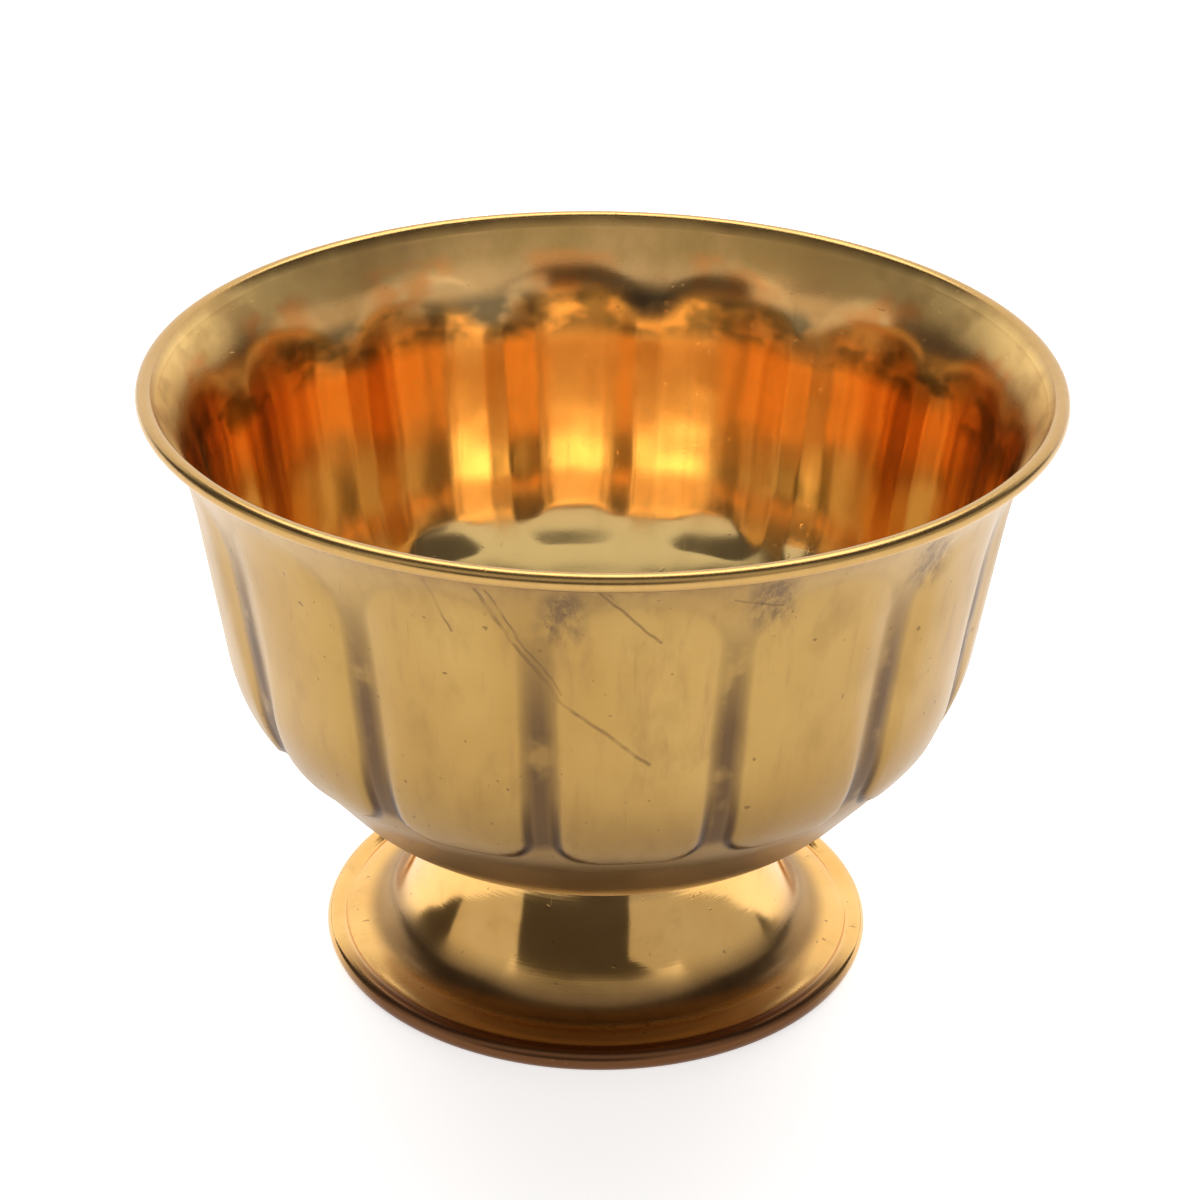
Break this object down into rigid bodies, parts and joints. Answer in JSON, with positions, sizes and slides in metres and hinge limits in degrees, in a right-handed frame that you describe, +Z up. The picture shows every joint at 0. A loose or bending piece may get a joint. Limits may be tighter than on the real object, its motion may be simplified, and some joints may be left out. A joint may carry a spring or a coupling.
{
  "type": "footed bowl",
  "caption": "Footed sheet-brass bowl with convex lobes pressed around its wall, a flared lip with a curled bead, and a hollow bell-shaped foot with a rolled edge.",
  "frame": {"origin": "on the axis of the bowl, in the plane that the foot stands on", "axes": "+Z up along the axis of the bowl, -Y towards the front; a lobe faces 5 degrees to the right of the front"},
  "size_m": [0.1, 0.1, 0.0698],
  "materials": {
    "bowl_brass": "satin polished, tarnished in the grooves",
    "foot_brass": "bright polished",
    "solder": "dull, filed back"
  },
  "bodies": {
    "root": {"bowl_shell": "bowl_brass", "foot": "foot_brass", "solder_ring": "solder"}
  },
  "joints": []
}
